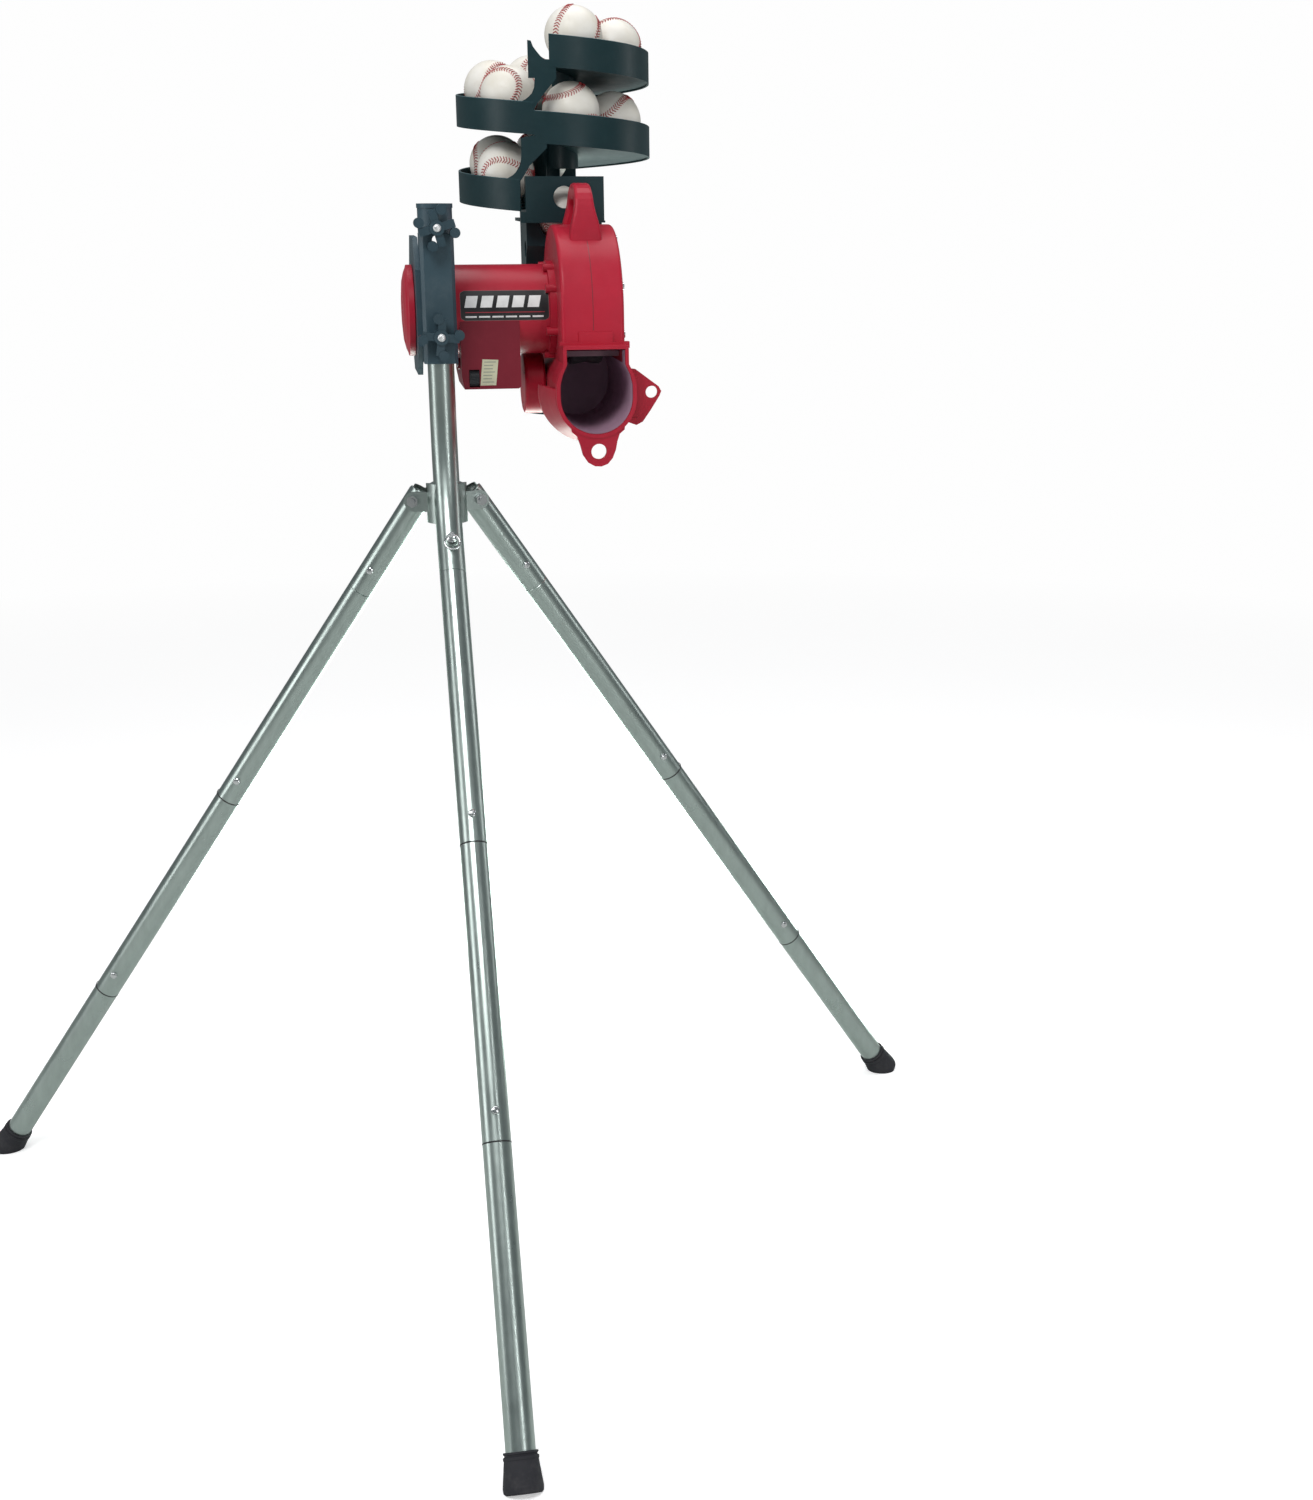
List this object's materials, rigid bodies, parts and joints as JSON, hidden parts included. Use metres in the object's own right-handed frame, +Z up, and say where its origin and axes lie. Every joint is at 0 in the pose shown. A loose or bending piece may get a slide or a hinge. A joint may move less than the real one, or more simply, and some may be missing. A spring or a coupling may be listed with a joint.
{
  "type": "baseball pitching machine",
  "caption": "Single-wheel ball pitching machine with a motor, clamp bracket, spiral ball magazine and plug-together folding tripod.",
  "frame": {"origin": "centre of the bounding box on the floor", "axes": "+Z up; -Y is the way the ball is thrown; +X runs along the motor from the mast to the wheel"},
  "size_m": [1.3084, 1.0542, 1.5101],
  "materials": {
    "red_plastic": "glossy",
    "red_metal": "satin paint",
    "slate_metal": "satin paint",
    "slate_plastic": "satin",
    "teal_plastic": "satin",
    "steel_tube": "satin",
    "foot_rubber": "matt",
    "tyre_rubber": "matt",
    "hardware": "polished",
    "lamination_steel": "satin",
    "black_plastic": "satin",
    "wheel_aluminium": "satin",
    "ball_leather": "satin"
  },
  "bodies": {
    "stand": {"mast_tube": "steel_tube", "leg_saddle": "steel_tube", "leg_hinge_bolts": "hardware", "front_leg_section_1": "steel_tube", "front_leg_section_2": "steel_tube", "front_leg_section_3": "steel_tube", "front_foot": "foot_rubber"},
    "left_rear_leg": {"left_leg_stub": "steel_tube", "left_leg_section_1": "steel_tube", "left_leg_section_2": "steel_tube", "left_leg_section_3": "steel_tube", "left_foot": "foot_rubber"},
    "right_rear_leg": {"right_leg_stub": "steel_tube", "right_leg_section_1": "steel_tube", "right_leg_section_2": "steel_tube", "right_leg_section_3": "steel_tube", "right_foot": "foot_rubber"},
    "bracket": {"mast_bracket": "slate_metal", "tilt_plate": "slate_metal"},
    "knob_upper": {"star_knob_upper": "slate_plastic"},
    "knob_lower": {"star_knob_lower": "slate_plastic"},
    "head": {"motor_housing": "red_metal", "motor_end_cap": "red_plastic", "control_box": "red_metal", "motor_stator": "lamination_steel", "motor_bearings": "hardware", "power_inlet": "black_plastic", "wheel_housing_left": "red_plastic", "wheel_housing_right": "red_plastic", "housing_screws": "hardware", "barrel": "red_plastic", "feed_pod_housing": "red_plastic", "feed_pod_cover": "red_plastic", "feed_gearmotor": "lamination_steel", "feed_tube": "teal_plastic", "feeder_box": "teal_plastic", "magazine_tray_1": "teal_plastic", "magazine_tray_2": "teal_plastic", "magazine_tray_3": "teal_plastic", "magazine_tray_4": "teal_plastic", "baseballs": "ball_leather"},
    "rotor": {"motor_rotor": "lamination_steel", "motor_shaft": "hardware", "cooling_fan": "black_plastic", "wheel_hub": "wheel_aluminium", "wheel_tyre": "tyre_rubber"},
    "feeder": {"feeder_arm": "hardware"},
    "dial": {"speed_dial": "black_plastic"},
    "toggle": {"power_toggle": "hardware"},
    "lock_pin": {"leg_lock_pin": "hardware", "lock_pin_ring": "hardware"},
    "left_button_1": {"left_snap_button_1": "hardware"},
    "left_button_2": {"left_snap_button_2": "hardware"},
    "left_button_3": {"left_snap_button_3": "hardware"},
    "right_button_1": {"right_snap_button_1": "hardware"},
    "right_button_2": {"right_snap_button_2": "hardware"},
    "right_button_3": {"right_snap_button_3": "hardware"},
    "front_button_2": {"front_snap_button_2": "hardware"},
    "front_button_3": {"front_snap_button_3": "hardware"}
  },
  "joints": [
    {"name": "head_swivel", "type": "hinge", "parent": "stand", "child": "bracket", "pos_m": [0, 0.16315, 1.154], "axis": [0, 0, 1], "range_deg": [-180, 180]},
    {"name": "head_tilt", "type": "hinge", "parent": "bracket", "child": "head", "pos_m": [0, 0.23815, 1.147], "axis": [1, 0, 0], "range_deg": [-40, 15]},
    {"name": "knob_upper_turn", "type": "hinge", "parent": "bracket", "child": "knob_upper", "pos_m": [0, 0.13315, 1.247], "axis": [0, -1, 0], "range_deg": [0, 540]},
    {"name": "knob_lower_turn", "type": "hinge", "parent": "bracket", "child": "knob_lower", "pos_m": [0, 0.13315, 1.122], "axis": [0, -1, 0], "range_deg": [0, 540]},
    {"name": "left_leg_fold", "type": "hinge", "parent": "stand", "child": "left_rear_leg", "pos_m": [-0.03404, 0.17487, 0.925], "axis": [0.3256, 0.9455, 0], "range_deg": [-34, 0]},
    {"name": "left_button_1_press", "type": "slide", "parent": "left_rear_leg", "child": "left_button_1", "axis": [0.3256, 0.9455, 0], "range_m": [0, 0.0035], "stiffness_N_per_m": 900, "springref_m": -0.002},
    {"name": "left_button_2_press", "type": "slide", "parent": "left_rear_leg", "child": "left_button_2", "axis": [0.3256, 0.9455, 0], "range_m": [0, 0.0035], "stiffness_N_per_m": 900, "springref_m": -0.002},
    {"name": "left_button_3_press", "type": "slide", "parent": "left_rear_leg", "child": "left_button_3", "axis": [0.3256, 0.9455, 0], "range_m": [0, 0.0035], "stiffness_N_per_m": 900, "springref_m": -0.002},
    {"name": "right_leg_fold", "type": "hinge", "parent": "stand", "child": "right_rear_leg", "pos_m": [0.03404, 0.17487, 0.925], "axis": [0.3256, -0.9455, 0], "range_deg": [-34, 0]},
    {"name": "right_button_1_press", "type": "slide", "parent": "right_rear_leg", "child": "right_button_1", "axis": [-0.3256, 0.9455, 0], "range_m": [0, 0.0035], "stiffness_N_per_m": 900, "springref_m": -0.002},
    {"name": "right_button_2_press", "type": "slide", "parent": "right_rear_leg", "child": "right_button_2", "axis": [-0.3256, 0.9455, 0], "range_m": [0, 0.0035], "stiffness_N_per_m": 900, "springref_m": -0.002},
    {"name": "right_button_3_press", "type": "slide", "parent": "right_rear_leg", "child": "right_button_3", "axis": [-0.3256, 0.9455, 0], "range_m": [0, 0.0035], "stiffness_N_per_m": 900, "springref_m": -0.002},
    {"name": "front_button_2_press", "type": "slide", "parent": "stand", "child": "front_button_2", "axis": [0, 0.8158, -0.5783], "range_m": [0, 0.0035], "stiffness_N_per_m": 900, "springref_m": -0.002},
    {"name": "front_button_3_press", "type": "slide", "parent": "stand", "child": "front_button_3", "axis": [0, 0.8158, -0.5783], "range_m": [0, 0.0035], "stiffness_N_per_m": 900, "springref_m": -0.002},
    {"name": "lock_pin_pull", "type": "slide", "parent": "stand", "child": "lock_pin", "axis": [0, -0.8158, 0.5783], "range_m": [0, 0.009], "stiffness_N_per_m": 600, "springref_m": -0.004},
    {"name": "wheel_spin", "type": "hinge", "parent": "head", "child": "rotor", "pos_m": [0.182, 0.23815, 1.147], "axis": [1, 0, 0], "continuous": true},
    {"name": "feeder_spin", "type": "hinge", "parent": "head", "child": "feeder", "pos_m": [0.145, 0.27515, 1.054], "axis": [1, 0, 0], "continuous": true},
    {"name": "speed_dial_turn", "type": "hinge", "parent": "head", "child": "dial", "pos_m": [0.0412, 0.19315, 1.068], "axis": [1, 0, 0], "range_deg": [0, 270]},
    {"name": "power_toggle_flip", "type": "hinge", "parent": "head", "child": "toggle", "pos_m": [0.031, 0.21315, 1.084], "axis": [0, 1, 0], "range_deg": [0, 24]}
  ]
}
